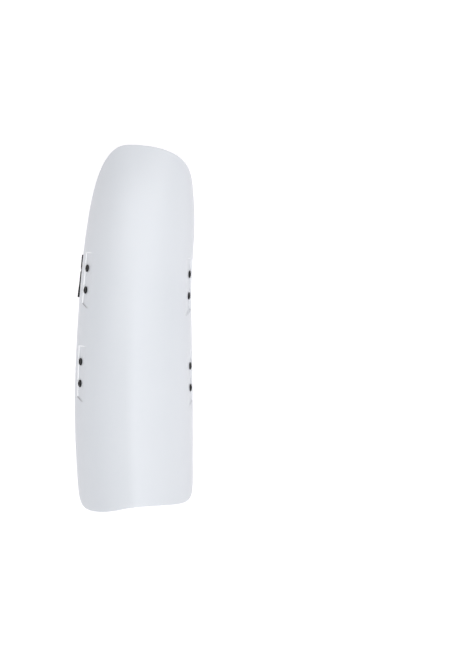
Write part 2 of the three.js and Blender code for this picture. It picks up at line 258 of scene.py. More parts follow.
def pieceFrom(name, points, faces, uv=None):
    mesh = bpy.data.meshes.new(name)
    mesh.from_pydata(np.asarray(points).reshape(-1, 3).tolist(), [], np.asarray(faces).tolist())
    if uv is not None:
        layer = mesh.uv_layers.new(name="Weave")
        corners = np.zeros(len(mesh.loops), np.int32)
        mesh.loops.foreach_get("vertex_index", corners)
        layer.data.foreach_set("uv", np.asarray(uv, np.float32).reshape(-1, 2)[corners].ravel())
    mesh.polygons.foreach_set("use_smooth", [True] * len(mesh.polygons))
    return addObject(name, mesh)


def gridQuads(columns, rows, first=0):
    i, j = np.meshgrid(np.arange(columns - 1), np.arange(rows - 1), indexing="ij")
    corner = first + i * rows + j
    return np.stack([corner, corner + rows, corner + rows + 1, corner + 1], -1).reshape(-1, 4)


def borderOf(grid):  # once round the grid: along the first row, up the last column, and back
    return np.concatenate([grid[:-1, 0], grid[-1, :-1], grid[:0:-1, -1], grid[0, :0:-1]])


def turnNear(point):
    turns = np.linspace(-1, 1, shell["turnSamples"])
    return turns[np.argmin(np.linalg.norm(outerPoint(turns, point[1]) - point, axis=1))]


def backWallLine(side):  # where the back walls of one side run, as heights and turns
    line = []
    for place in pocketFrames.values():
        for across in (-pocket["below"], pocket["above"]):
            middle = place["origin"] + place["out"] * pocket["depth"] / 2
            middle = middle + place["up"] * across - place["front"] * (pocket["behind"] + pocket["depth"] / 3)
            if place["side"] == side:
                line.append((middle[1], turnNear(middle)))
    return np.array(sorted(line)).T


def shellGrid():  # turns and heights whose lines crowd at the pockets' walls and follow them
    half, arc, coarse = shell["length"] / 2, shell["sideArc"], shell["coarseStep"]
    rim = 1 - shell["rimRounding"] / arc
    left, right = backWallLine(-1), backWallLine(1)
    leftStop, rightStop = left[1].mean(), right[1].mean()
    band, nearRim = shell["columnBand"] / arc, shell["rimBand"]
    ranges = [(leftStop - band, leftStop + band), (rightStop - band, rightStop + band)]
    columns = gradedStops(-rim, rim, ranges, shell["columnStep"] / arc, coarse / arc, shell["columnGrowth"])
    rimStops = rim - nearRim * np.linspace(1, 0, shell["rimColumns"] + 1)[1:] ** shell["rimCrowding"]
    columns = np.unique(np.concatenate([columns[np.abs(columns) < rim - nearRim], rimStops, -rimStops]))

    ranges, knots = [], [(-half, 0), (half, 0)]
    (lowerDown, lowerUp), (upperDown, upperUp) = shell["rowReach"]["lower"], shell["rowReach"]["upper"]
    for level in ("lower", "upper"):
        lefty, righty = pocketFrames[level + "Left"]["y"], pocketFrames[level + "Right"]["y"]
        middle, lean = (lefty + righty) / 2, (lefty - righty) / 2
        bottom = middle - pocket["below"] - pocket["bottomSlant"] - lowerDown
        ranges += [(bottom, middle - pocket["below"] + lowerUp)]
        ranges += [(middle + pocket["above"] - upperDown, middle + pocket["above"] + upperUp)]
        knots += [(bottom, lean), (middle + pocket["above"], lean)]
    rows = gradedStops(-half, half, ranges, shell["rowStep"], coarse, shell["rowGrowth"])

    column, row = np.meshgrid(columns, rows, indexing="ij")
    lean = np.interp(row, *np.array(sorted(knots)).T)
    y = row - lean * np.sin(column * quarterTurn)
    leftWall, rightWall = np.interp(y, *left), np.interp(y, *right)
    outside = np.where(
        column < 0,
        -rim + (column + rim) * (rim + leftWall) / (rim + leftStop),
        rim - (rim - column) * (rim - rightWall) / (rim - rightStop),
    )
    inside = np.where(column < 0, column * leftWall / leftStop, column * rightWall / rightStop)
    turn = np.where((column > leftStop) & (column < rightStop), inside, outside)

    ankleStart, kneeStart = shell["straight"]
    rounding = shell["rimRounding"]
    kneeShare = np.clip((row - kneeStart) / (half - kneeStart), 0, 1)
    ankleShare = np.clip((row - ankleStart) / (-half - ankleStart), 0, 1)
    y = y + kneeShare * (kneeEndY(turn) - rounding - half) + ankleShare * (ankleEndY(turn) + rounding + half)
    return turn, y


def makeShell():
    rounding = shell["rimRounding"]
    turn, y = shellGrid()
    outer = outerPoint(turn, y)
    normal = outerDirections(turn, y)[2]
    inner = outer - normal * shell["wall"]

    # the rim goes round all four sides, from the outer face to the inner one
    rim, rimNormal = borderOf(outer), borderOf(normal)
    inland = outer.copy()
    inland[0], inland[-1] = outer[1], outer[-2]
    inland[1:-1, 0], inland[1:-1, -1] = outer[1:-1, 1], outer[1:-1, -2]
    along = np.roll(rim, -1, 0) - np.roll(rim, 1, 0)
    away = unit(np.cross(along, rimNormal))
    away *= np.sign(np.sum(away * (rim - borderOf(inland)), -1, keepdims=True))
    rings = []
    for k in range(1, shell["rimSteps"]):
        angle = math.pi * k / shell["rimSteps"]
        power = shell["rimSquareness"]
        level = math.copysign(abs(math.cos(angle)) ** power, math.cos(angle))
        bulge = math.sin(angle) ** power
        ring = rim - rimNormal * shell["wall"] / 2 * (1 - level) + away * rounding * bulge
        ring[:, 2] = np.maximum(ring[:, 2], 0)  # the right rim lies flat on the ground
        rings.append(ring)

    # painted highlight (above 0) and painted shade (below 0) on the pockets' walls
    paintedShading = 0 * turn
    for place in pocketFrames.values():
        outer, paintedMarks = recess(outer, place)
        paintedShading += paintedMarks
    columns, rows = turn.shape
    count = columns * rows
    indices = np.arange(count).reshape(columns, rows)
    ringCount = len(rim)
    loops = [borderOf(indices)]
    loops += [2 * count + k * ringCount + np.arange(ringCount) for k in range(len(rings))]
    loops += [borderOf(indices) + count]
    faces = [gridQuads(columns, rows), gridQuads(columns, rows, count)[:, ::-1]]
    for upper, lower in zip(loops, loops[1:]):
        faces.append(np.stack([upper, lower, np.roll(lower, -1), np.roll(upper, -1)], -1))
    points = np.concatenate([outer.reshape(-1, 3), inner.reshape(-1, 3)] + rings)
    piece = pieceFrom("shellSkin", points, np.concatenate(faces))
    paintedMarks = np.zeros(len(points), np.float32)
    paintedMarks[:count] = paintedShading.ravel()
    piece.data.attributes.new("paintedShading", "FLOAT", "POINT").data.foreach_set("value", paintedMarks)
    print("shell:", columns, "x", rows, "grid,", len(piece.data.polygons), "faces")
    return piece


# Rivets

rivet = {
    "pitch": 0.0228,
    "count": 2,
    "sides": 40,
    "headRadius": 0.0039,
    "headHeight": 0.0011,
    "headRounding": 0.0009,
    "dimpleRadius": 0.002,
    "dimpleDepth": 0.0005,
    "dimpleFloor": 0.72,  # the floor's share of the dimple's radius
    "dimpleRounding": 0.0003,
    "lip": 0.00025,  # the rounding of the small edges
    "shankRadius": 0.0019,
    "holeRadius": 0.0022,
    "holeSides": 32,
    "backRadius": 0.0043,
    "backHeight": 0.0009,
    "backRounding": 0.0004,
}

strap = {
    "width": 0.045,
    "thickness": 0.0018,
    "pastRivets": 0.008,
    "bend": 0.008,
    "bendFullness": 0.6,
    "ribPitch": 0.0015,
    "ribDepth": 0.00012,
    "samplesPerRib": 6,
    "loopPitch": 0.0009,
    "loopLean": 1.3,
    "edgeRounding": 0.0008,
    "edgeShare": 0.25,  # what is left of the thickness at the very edge
    "sealThinning": 0.3,  # heat-sealed ends are a little thinner
    "sealReach": 0.0009,
    "station": 0.0016,
    "wallLength": 0.018,  # about what lies on the wall and in the bend
    "bendLength": 0.014,
    "endStations": 5,
    "endTaper": 0.0006,  # the free end was cut a little askew, with a nick
    "taperAt": -0.012,
    "taperWidth": 0.005,
    "nickAt": 0.0065,
    "nickWidth": 0.0018,
    "nickDepth": 0.0007,
}


def arcPoints(centre, radius, start, end, steps):
    angles = np.radians(np.linspace(start, end, steps + 1))
    return [(centre[0] + radius * math.cos(a), centre[1] + radius * math.sin(a)) for a in angles]


def rivetProfile():  # radius and height, with height 0 on the pocket's floor
    head, back = rivet["headRadius"], rivet["backRadius"]
    top = gap + rivet["headHeight"]
    face = pocket["depth"] - shell["wall"] - gap - strap["thickness"]
    lean = back * math.tan(pocket["tilt"])
    hollow = back ** 2 / shell["width"]
    backTop = face - gap - lean - hollow
    backBottom = backTop - rivet["backHeight"]
    rounding, backRounding = rivet["headRounding"], rivet["backRounding"]
    lip, dimple, dimpleRounding = rivet["lip"], rivet["dimpleRadius"], rivet["dimpleRounding"]
    profile = [(0, backBottom)]
    profile += arcPoints((back - backRounding, backBottom + backRounding), backRounding, -90, 0, 4)
    profile += arcPoints((back - lip, backTop - lip), lip, 0, 90, 3)
    profile += [(rivet["shankRadius"], backTop), (rivet["shankRadius"], gap)]
    profile += arcPoints((head - lip, gap + lip), lip, -90, 0, 3)
    profile += arcPoints((head - rounding, top - rounding), rounding, 0, 90, 6)
    profile += arcPoints((dimple + lip, top - lip), lip, 90, 170, 4)
    floor = top - rivet["dimpleDepth"]
    profile += arcPoints((dimple * rivet["dimpleFloor"], floor + dimpleRounding), dimpleRounding, 0, -90, 4)
    profile += [(0, floor)]
    return profile


class NodeWeb:  # adds nodes to a tree and wires them up
    def __init__(self, tree):
        self.tree = tree

    def add(self, kind, settings=None, **sockets):
        node = self.tree.nodes.new(kind)
        for key, value in (settings or {}).items():
            setattr(node, key, value)
        for key, value in sockets.items():
            self.feed(self.inputOf(node, key), value)
        return node

    def inputOf(self, node, key):
        if key[0] == "i" and key[1:].isdigit():
            return node.inputs[int(key[1:])]
        return node.inputs[key.replace("_", " ")]

    def feed(self, socket, value):
        if isinstance(value, bpy.types.Node):
            value = value.outputs[0]
        if isinstance(value, bpy.types.NodeSocket):
            self.tree.links.new(value, socket)
        else:
            socket.default_value = value

    def math(self, operation, *values):
        sockets = {"i%d" % k: value for k, value in enumerate(values)}
        return self.add("ShaderNodeMath", {"operation": operation}, **sockets)


def geometryTree(name, inputs):
    tree = bpy.data.node_groups.new(name, "GeometryNodeTree")
    tree.interface.new_socket("Geometry", in_out="OUTPUT", socket_type="NodeSocketGeometry")
    tree.interface.new_socket("Geometry", in_out="INPUT", socket_type="NodeSocketGeometry")
    for label, kind in inputs.items():
        tree.interface.new_socket(label, in_out="INPUT", socket_type="NodeSocket" + kind)
    web = NodeWeb(tree)
    return tree, web, web.add("NodeGroupInput").outputs, web.add("NodeGroupOutput")


def finishTree(web, geometry, material, output):
    smooth = web.add("GeometryNodeSetShadeSmooth", Geometry=geometry)
    realized = web.add("GeometryNodeRealizeInstances", Geometry=smooth)
    painted = web.add("GeometryNodeSetMaterial", Geometry=realized, Material=material)
    web.feed(output.inputs[0], painted)


def runTree(carrier, tree, values):  # evaluates the tree and leaves a plain mesh
    modifier = carrier.modifiers.new(tree.name, "NODES")
    modifier.node_group = tree
    for item in tree.interface.items_tree:
        if item.item_type == "SOCKET" and item.in_out == "INPUT" and item.name in values:
            modifier[item.identifier] = values[item.name]
    applyModifiers(carrier)
    turnOutwards(carrier)


def turnOutwards(piece):
    work = bmesh.new()
    work.from_mesh(piece.data)
    bmesh.ops.remove_doubles(work, verts=work.verts, dist=1e-7)
    bmesh.ops.recalc_face_normals(work, faces=work.faces)
    work.to_mesh(piece.data)
    work.free()


def rivetRowTree():  # turns the profile round its axis, and sets copies in a row
    inputs = {"Sides": "Int", "Count": "Int", "Pitch": "Float", "Material": "Material"}
    tree, web, given, output = geometryTree("rivetRow", inputs)
    size = web.add("GeometryNodeAttributeDomainSize", Geometry=given["Geometry"]).outputs["Point Count"]
    around = web.math("ADD", given["Sides"], 1)
    grid = web.add("GeometryNodeMeshGrid", Vertices_X=size, Vertices_Y=around)
    index = web.add("GeometryNodeInputIndex")
    step = web.math("FLOOR", web.math("DIVIDE", web.math("ADD", index, 0.5), around))
    side = web.math("SUBTRACT", index, web.math("MULTIPLY", step, around))
    sample = web.add(
        "GeometryNodeSampleIndex", {"data_type": "FLOAT_VECTOR"},
        Geometry=given["Geometry"], Value=web.add("GeometryNodeInputPosition"), Index=step,
    )
    place = web.add("ShaderNodeSeparateXYZ", Vector=sample)
    angle = web.math("DIVIDE", web.math("MULTIPLY", side, 2 * math.pi), given["Sides"])
    turned = web.add(
        "ShaderNodeCombineXYZ",
        X=web.math("MULTIPLY", place.outputs["X"], web.math("COSINE", angle)),
        Y=web.math("MULTIPLY", place.outputs["X"], web.math("SINE", angle)),
        Z=place.outputs["Z"],
    )
    lathe = web.add("GeometryNodeSetPosition", Geometry=grid, Position=turned)
    closed = web.add("GeometryNodeMergeByDistance", Geometry=lathe, Distance=1e-6)
    row = web.add(
        "GeometryNodeMeshLine", {"mode": "OFFSET"},
        Count=given["Count"],
        Start_Location=web.add("ShaderNodeCombineXYZ", Y=web.math("MULTIPLY", given["Pitch"], -0.5)),
        Offset=web.add("ShaderNodeCombineXYZ", Y=given["Pitch"]),
    )
    copies = web.add("GeometryNodeInstanceOnPoints", Points=row, Instance=closed)
    finishTree(web, copies, given["Material"], output)
    return tree


def makeRivets(name, place, tree, material):
    profile = rivetProfile()
    mesh = bpy.data.meshes.new(name)
    edges = [(k, k + 1) for k in range(len(profile) - 1)]
    mesh.from_pydata([(radius, 0, height) for radius, height in profile], edges, [])
    piece = addObject(name, mesh)
    values = {"Sides": rivet["sides"], "Count": rivet["count"], "Pitch": rivet["pitch"], "Material": material}
    runTree(piece, tree, values)
    piece.data.transform(standingOn(place, place["origin"]))
    return piece


def drillHoles(piece):  # the shanks pass through real holes
    for place in pocketFrames.values():
        for end in (-0.5, 0.5):
            centre = place["origin"] + place["up"] * rivet["pitch"] * end
            work = bmesh.new()
            bmesh.ops.create_cone(
                work, cap_ends=True, segments=rivet["holeSides"], depth=6 * shell["wall"],
                radius1=rivet["holeRadius"], radius2=rivet["holeRadius"],
            )
            mesh = bpy.data.meshes.new("drill")
            work.to_mesh(mesh)
            work.free()
            mesh.transform(standingOn(place, centre))
            drill = addObject("drill", mesh)
            cut = piece.modifiers.new("hole", "BOOLEAN")
            cut.operation, cut.solver, cut.object = "DIFFERENCE", "MANIFOLD", drill
            applyModifiers(piece)
            bpy.data.objects.remove(drill)


# Straps, tabs and hook patches

straps = {
    "Upper": {"slant": math.radians(5.3), "endProud": 0.0021},
    "Lower": {"slant": math.radians(2.4), "endProud": -0.004},
}

tab = {
    "flatLength": 0.044,
    "wallLength": 0.026,
    "columns": 41,
    "selvedge": 0.003,
    "ribPitch": 0.0014,
    "ribDepth": 0.00008,
    "samplesPerRib": 5,
    "chevron": 0.009,
    "chevronLean": 9,
    "yarnPitch": 0.0007,
}

hookPatch = {
    "thickness": 0.0008,
    "length": 0.038,
    "width": 0.041,
    "inset": 0.003,
    "corner": 0.003,
    "cornerSteps": 8,
    "baseThickness": 0.00035,
    "baseBevel": 0.00012,
    "border": 0.0022,  # the sewn margin without hooks
    "hookPitch": 0.0015,
    "hookWire": 0.00009,
    "hookStart": math.radians(-80),
    "hookSweep": math.radians(230),
    "hookSwing": 0.35,
    "hookSteps": 8,
    "wireSides": 5,
    "seed": 4,
}

stitch = {
    "length": 0.0024,
    "pitch": 0.0031,
    "radius": 0.00024,
    "inset": 0.0014,
    "cornerSteps": 4,
    "tabInset": 0.0035,
    "tabStart": 0.004,
}

strapLift = strap["thickness"] + gap
tabHeight = strapLift + hookPatch["thickness"] + gap


def wallRun(place, across, leaveHeight, steps):  # along the shell's inner face, down to where it leaves it
    depth = shell["wall"] + gap + strap["thickness"] / 2
    y = place["y"] + across
    arcRate = np.linalg.norm(outerDirections(np.full_like(y, place["turn"]), y)[0], axis=-1)
    start = place["turn"] - place["side"] * strap["pastRivets"] / arcRate
    end = place["side"] * np.arccos(leaveHeight / (columnAt("rise", y) * shell["depth"])) / quarterTurn
    share = np.linspace(0, 1, steps + 1)[:, None]
    return insidePoint(start + (end - start) * share, np.broadcast_to(y, (steps + 1, len(y))), depth)


def bendRun(wall, flatEntry, steps):  # from the wall round to the flat run below
    leave = wall[-1]
    reach = strap["bend"] * strap["bendFullness"]
    down = unit(leave - wall[-2]) * reach
    inwards = np.sign(flatEntry[:, :1] - leave[:, :1]) * np.array([reach, 0, 0])
    t = np.linspace(0, 1, steps + 1)[1:, None, None]
    controls = (leave, leave + down, flatEntry - inwards, flatEntry)
    weights = ((1 - t) ** 3, 3 * t * (1 - t) ** 2, 3 * t ** 2 * (1 - t), t ** 3)
    return sum(weight * control for weight, control in zip(weights, controls))


def strapFlat(level):
    right = pocketFrames[level.lower() + "Right"]
    leave = wallRun(right, np.zeros(1), strap["bend"], 1)[-1, 0]
    start = np.array([leave[0] - strap["bend"], leave[1], strap["thickness"] / 2])
    climb = math.tan(straps[level]["slant"])
    rimX = outerPoint(-1.0, start[1] + (start[0] + shell["width"] / 2) * climb)[0]
    end = start.copy()
    end[0] = rimX - straps[level]["endProud"]
    end[1] += (start[0] - end[0]) * climb
    return start, end


def strapLines(level, across, spacing):
    start, end = strapFlat(level)
    place = pocketFrames[level.lower() + "Right"]
    wall = wallRun(place, across, strap["bend"], round(strap["wallLength"] / spacing))
    flatEntry = wall[-1] - np.array([strap["bend"], 0, 0])
    flatEntry[:, 2] = start[2]
    bend = bendRun(wall, flatEntry, round(strap["bendLength"] / spacing))
    share = np.linspace(0, 1, round((start[0] - end[0]) / spacing) + 1)[1:, None]
    turned = straps[level]["slant"] * np.sin(share * quarterTurn)
    flat = start + (end - start) * share[..., None] + 0 * across[None, :, None]
    flat[..., 0] += np.sin(turned) * across + (flatEntry[:, 0] - start[0]) * (1 - share)
    flat[..., 1] += np.cos(turned) * across
    return np.concatenate([wall, bend, flat])


def tabLines(level, across, spacing):
    place = pocketFrames[level.lower() + "Left"]
    wall = wallRun(place, across, tabHeight + strap["bend"], round(tab["wallLength"] / spacing))
    flatEntry = wall[-1] + np.array([strap["bend"], 0, 0])
    flatEntry[:, 2] = tabHeight + strap["thickness"] / 2
    bend = bendRun(wall, flatEntry, round(strap["bendLength"] / spacing))
    share = np.linspace(0, 1, round(tab["flatLength"] / spacing) + 1)[1:, None, None]
    flat = flatEntry + share * np.array([tab["flatLength"], 0, 0])
    return np.concatenate([wall, bend, flat])


def bandNormals(centres):
    along, across = np.gradient(centres, axis=0), np.gradient(centres, axis=1)
    return unit(np.cross(along, across))


def makeBand(name, centres, across, relief):  # relief gives the thickness that the weave adds or takes
    normals = bandNormals(centres)
    fromEdge = np.clip((strap["width"] / 2 - np.abs(across)) / strap["edgeRounding"], 0, 1)
    stationSteps = np.linalg.norm(np.diff(centres[:, len(across) // 2], axis=0), axis=1)
    lengthAlong = np.concatenate([[0], np.cumsum(stationSteps)])
    fromEnd = np.minimum(lengthAlong, lengthAlong[-1] - lengthAlong)
    sealed = 1 - strap["sealThinning"] * np.exp(-fromEnd / strap["sealReach"])
    rounded = strap["edgeShare"] + (1 - strap["edgeShare"]) * np.sqrt(1 - (1 - fromEdge) ** 2)
    half = strap["thickness"] / 2 * rounded[None, :] * sealed[:, None]
    half = half - relief(across[None, :], lengthAlong[:, None]) * rounded[None, :]
    top = centres + normals * half[..., None]
    bottom = centres - normals * half[..., None]
    stations, columns = half.shape
    count = stations * columns
    indices = np.arange(count).reshape(stations, columns)
    border = borderOf(indices)
    faces = [gridQuads(stations, columns), gridQuads(stations, columns, count)[:, ::-1]]
    faces.append(np.stack([border, border + count, np.roll(border, -1) + count, np.roll(border, -1)], -1))
    uv = np.stack(np.broadcast_arrays(across[None, :], lengthAlong[:, None]), -1).reshape(-1, 2)
    points = np.concatenate([top.reshape(-1, 3), bottom.reshape(-1, 3)])
    piece = pieceFrom(name, points, np.concatenate(faces), np.concatenate([uv, uv]))
    turnOutwards(piece)
    return piece


def makeStrap(level):
    ribs = round(strap["width"] / strap["ribPitch"])
    across = np.linspace(-0.5, 0.5, ribs * strap["samplesPerRib"] + 1) * strap["width"]
    centres = strapLines(level, across, strap["station"])
    taper = strap["endTaper"] * (0.5 + 0.5 * np.tanh((across - strap["taperAt"]) / strap["taperWidth"]))
    nick = strap["nickDepth"] * np.exp(-((across - strap["nickAt"]) / strap["nickWidth"]) ** 2)
    stations = strap["endStations"]
    centres[-stations:, :, 0] += np.linspace(0, 1, stations + 1)[1:, None] * (taper + nick)

    def relief(u, v):
        return strap["ribDepth"] * (0.5 - 0.5 * np.cos(2 * math.pi * u / strap["ribPitch"])) + 0 * v

    return makeBand("strap" + level, centres, across, relief)


def makeTab(level):
    across = np.linspace(-0.5, 0.5, tab["columns"]) * strap["width"]
    centres = tabLines(level, across, tab["ribPitch"] / tab["samplesPerRib"])

    def relief(u, v):
        selvedge = np.clip((strap["width"] / 2 - np.abs(u)) / tab["selvedge"], 0, 1)
        return tab["ribDepth"] * (1 - np.abs(np.sin(math.pi * v / tab["ribPitch"]))) * selvedge

    return makeBand("tab" + level, centres, across, relief)


def patchPlace(level):
    end = strapFlat(level)[1]
    slant = straps[level]["slant"]
    clearOfTab = straps[level]["endProud"] + shell["wall"] + gap + strap["bend"]
    inset = clearOfTab + hookPatch["inset"] + hookPatch["length"] / 2
    middle = (end[0] + inset * math.cos(slant), end[1] - inset * math.sin(slant), strapLift)
    return Matrix.Translation(middle) @ Matrix.Rotation(-slant, 4, "Z")


def roundedOutline(halfX, halfY, corner, steps):
    points = []
    for quarter, sideX, sideY in ((0, 1, 1), (1, -1, 1), (2, -1, -1), (3, 1, -1)):
        centre = (sideX * (halfX - corner), sideY * (halfY - corner))
        points += arcPoints(centre, corner, quarter * 90, quarter * 90 + 90, steps)
    return points


def makePatchBase(name):
    work = bmesh.new()
    halfX, halfY = hookPatch["length"] / 2, hookPatch["width"] / 2
    outline = roundedOutline(halfX, halfY, hookPatch["corner"], hookPatch["cornerSteps"])
    face = work.faces.new([work.verts.new((x, y, 0)) for x, y in outline])
    raised = bmesh.ops.extrude_face_region(work, geom=[face])
    top = [item for item in raised["geom"] if isinstance(item, bmesh.types.BMVert)]
    bmesh.ops.translate(work, verts=top, vec=(0, 0, hookPatch["baseThickness"]))
    topEdges = [edge for edge in work.edges if all(v in top for v in edge.verts)]
    bevel = {"offset": hookPatch["baseBevel"], "segments": 3, "profile": 0.5, "affect": "EDGES"}
    bmesh.ops.bevel(work, geom=topEdges, **bevel)
    bmesh.ops.recalc_face_normals(work, faces=work.faces)
    mesh = bpy.data.meshes.new(name)
    work.to_mesh(mesh)
    work.free()
    return addObject(name, mesh)


def hookFieldTree():  # rows of small bent wires on the patch
    inputs = {
        "Size X": "Float", "Size Y": "Float", "Pitch": "Float", "Height": "Float", "Wire": "Float",
        "Base": "Float", "Material": "Material", "Seed": "Int",
    }
    tree, web, given, output = geometryTree("hookField", inputs)
    countX = web.math("ADD", web.math("ROUND", web.math("DIVIDE", given["Size X"], given["Pitch"])), 1)
    countY = web.math("ADD", web.math("ROUND", web.math("DIVIDE", given["Size Y"], given["Pitch"])), 1)
    field = web.add(
        "GeometryNodeMeshGrid",
        Size_X=given["Size X"], Size_Y=given["Size Y"], Vertices_X=countX, Vertices_Y=countY,
    )
    radius = web.math("MULTIPLY", web.math("SUBTRACT", given["Height"], given["Wire"]), 0.5)
    arc = web.add(
        "GeometryNodeCurveArc", {"mode": "RADIUS"},
        Resolution=hookPatch["hookSteps"], Radius=radius,
        Start_Angle=hookPatch["hookStart"], Sweep_Angle=hookPatch["hookSweep"],
    )
    section = web.add(
        "GeometryNodeCurvePrimitiveCircle", {"mode": "RADIUS"},
        Resolution=hookPatch["wireSides"], Radius=given["Wire"],
    )
    wire = web.add("GeometryNodeCurveToMesh", Curve=arc, Profile_Curve=section, Fill_Caps=True)
    upright = web.add("GeometryNodeTransform", Geometry=wire, Rotation=(quarterTurn, 0, 0))
    lifted = web.add(
        "GeometryNodeTransform", Geometry=upright,
        Translation=web.add("ShaderNodeCombineXYZ", Z=web.math("ADD", given["Base"], radius)),
    )
    swing = web.add(
        "FunctionNodeRandomValue", {"data_type": "FLOAT_VECTOR"},
        Min=(0, 0, -hookPatch["hookSwing"]), Max=(0, 0, hookPatch["hookSwing"]), Seed=given["Seed"],
    )
    hooks = web.add("GeometryNodeInstanceOnPoints", Points=field, Instance=lifted, Rotation=swing)
    joined = web.add("GeometryNodeJoinGeometry")
    for part in (hooks, given["Geometry"]):
        web.feed(joined.inputs[0], part)
    finishTree(web, joined, given["Material"], output)
    return tree


def makeHookPatch(level, tree, material):
    piece = makePatchBase("hookPatch" + level)
    margin = 2 * hookPatch["border"]
    values = {
        "Size X": hookPatch["length"] - margin,
        "Size Y": hookPatch["width"] - margin,
        "Pitch": hookPatch["hookPitch"],
        "Height": hookPatch["thickness"] - hookPatch["baseThickness"],
        "Wire": hookPatch["hookWire"],
        "Base": hookPatch["baseThickness"],
        "Material": material,
        "Seed": hookPatch["seed"],
    }
    runTree(piece, tree, values)
    piece.data.transform(patchPlace(level))
    return piece


def stitchTree():  # lays short threads end to end along a line
    inputs = {"Length": "Float", "Pitch": "Float", "Radius": "Float", "Material": "Material"}
    tree, web, given, output = geometryTree("stitchRow", inputs)
    curve = web.add("GeometryNodeMeshToCurve", Mesh=given["Geometry"])
    even = web.add("GeometryNodeResampleCurve", {"mode": "LENGTH"}, Curve=curve, Length=given["Pitch"])
    thread = web.add("GeometryNodeMeshUVSphere", Segments=8, Rings=6, Radius=0.5)
    shaped = web.add(
        "GeometryNodeTransform", Geometry=thread,
        Scale=web.add(
            "ShaderNodeCombineXYZ",
            X=given["Length"],
            Y=web.math("MULTIPLY", given["Radius"], 2),
            Z=web.math("MULTIPLY", given["Radius"], 2),
        ),
    )
    tangent = web.add("GeometryNodeInputTangent")
    turned = web.add("FunctionNodeAlignEulerToVector", {"axis": "X"}, Vector=tangent)
    rows = web.add("GeometryNodeInstanceOnPoints", Points=even, Instance=shaped, Rotation=turned)
    finishTree(web, rows, given["Material"], output)
    return tree


def makeStitches(name, lines, tree, material):
    points, edges = [], []
    for line in lines:
        first = len(points)
        points += [tuple(point) for point in line]
        edges += [(first + k, first + k + 1) for k in range(len(line) - 1)]
    mesh = bpy.data.meshes.new(name)
    mesh.from_pydata(points, edges, [])
    piece = addObject(name, mesh)
    values = {
        "Length": stitch["length"],
        "Pitch": stitch["pitch"],
        "Radius": stitch["radius"],
        "Material": material,
    }
    runTree(piece, tree, values)
    return piece


def patchStitchLines(level):  # a seam round the hook patch
    inset = stitch["inset"]
    halfX, halfY = hookPatch["length"] / 2 - inset, hookPatch["width"] / 2 - inset
    outline = roundedOutline(halfX, halfY, hookPatch["corner"] - inset / 2, stitch["cornerSteps"])
    height, place = hookPatch["baseThickness"], patchPlace(level)
    line = [tuple(place @ Matrix.Translation((x, y, height)).translation) for x, y in outline]
    return [line + line[:1]]


def tabStitchLines(level):  # a box seam with a cross on the tab's flat end
    inset = stitch["tabInset"]
    across = np.array([-0.5, 0.5]) * (strap["width"] - 2 * inset)
    (tabEnd, low, _), (_, high, _) = tabLines(level, across, strap["station"])[-1]
    height = tabHeight + strap["thickness"]
    endX, startX = tabEnd - inset, tabEnd - tab["flatLength"] + stitch["tabStart"]
    corners = [(startX, low), (endX, low), (endX, high), (startX, high)]
    box = [(x, y, height) for x, y in corners + corners[:1]]
    return [box, [box[0], box[2]], [box[1], box[3]]]


# Finishes


class Wire:  # a shader value that does its own arithmetic
    def __init__(self, finish, socket):
        self.finish = finish
        self.socket = socket

    def calc(self, operation, *others):
        return self.finish.node("ShaderNodeMath", {"operation": operation}, *(self, *others))

    def __add__(self, other):
        return self.calc("ADD", other)

    def __sub__(self, other):
        return self.calc("SUBTRACT", other)

    def __mul__(self, other):
        return self.calc("MULTIPLY", other)

    def __truediv__(self, other):
        return self.calc("DIVIDE", other)

    def __rsub__(self, other):
        return self.finish.node("ShaderNodeMath", {"operation": "SUBTRACT"}, other, self)

    __radd__ = __add__
    __rmul__ = __mul__

    def sine(self):
        return self.calc("SINE")

    def fraction(self):
        return self.calc("FRACT")

    def size(self):
        return self.calc("ABSOLUTE")

    def between(self, low, high):  # 0 at low, 1 at high
        return self.finish.node("ShaderNodeMapRange", {"interpolation_type": "SMOOTHSTEP"}, self, low, high)


class Finish:  # one material and its nodes
    def __init__(self, name, **constants):
        self.material = bpy.data.materials.new(name)
        self.material.use_nodes = True
        self.tree = self.material.node_tree
        self.shader = self.tree.nodes["Principled BSDF"]
        for key, value in constants.items():
            self.shader.inputs[key.replace("_", " ")].default_value = value

    def node(self, kind, settings=None, *values, output=0, **sockets):
        node = self.tree.nodes.new(kind)
        for key, value in (settings or {}).items():
            setattr(node, key, value)
        wanted = [(node.inputs[k], value) for k, value in enumerate(values)]
        wanted += [(node.inputs[key.replace("_", " ")], value) for key, value in sockets.items()]
        for socket, value in wanted:
            if isinstance(value, Wire):
                self.tree.links.new(value.socket, socket)
            else:
                socket.default_value = value
        return Wire(self, node.outputs[output])

    def place(self):
        return self.node("ShaderNodeTexCoord", output=3)

    def noise(self, scale, detail=3, where=None, distortion=0):
        where = where or self.place()
        sockets = {"Vector": where, "Scale": scale, "Detail": detail, "Distortion": distortion}
        return self.node("ShaderNodeTexNoise", None, **sockets)

    def stretched(self, scale):
        return self.node("ShaderNodeMapping", None, Vector=self.place(), Scale=scale)

    def weave(self):
        uv = self.node("ShaderNodeUVMap", {"uv_map": "Weave"})
        return [self.node("ShaderNodeSeparateXYZ", None, uv, output=axis) for axis in (0, 1)]

    def blend(self, factor, first, second):
        mix = self.tree.nodes.new("ShaderNodeMix")
        mix.data_type = "RGBA"
        self.tree.links.new(factor.socket, mix.inputs["Factor"])
        for socket, value in ((mix.inputs[6], first), (mix.inputs[7], second)):
            if isinstance(value, Wire):
                self.tree.links.new(value.socket, socket)
            else:
                socket.default_value = (*value, 1)
        return Wire(self, mix.outputs[2])

    def set(self, **sockets):
        for key, value in sockets.items():
            self.tree.links.new(value.socket, self.shader.inputs[key.replace("_", " ")])

    def bump(self, height, distance, strength=1.0):
        relief = self.node("ShaderNodeBump", None, Strength=strength, Distance=distance, Height=height)
        self.set(Normal=relief)


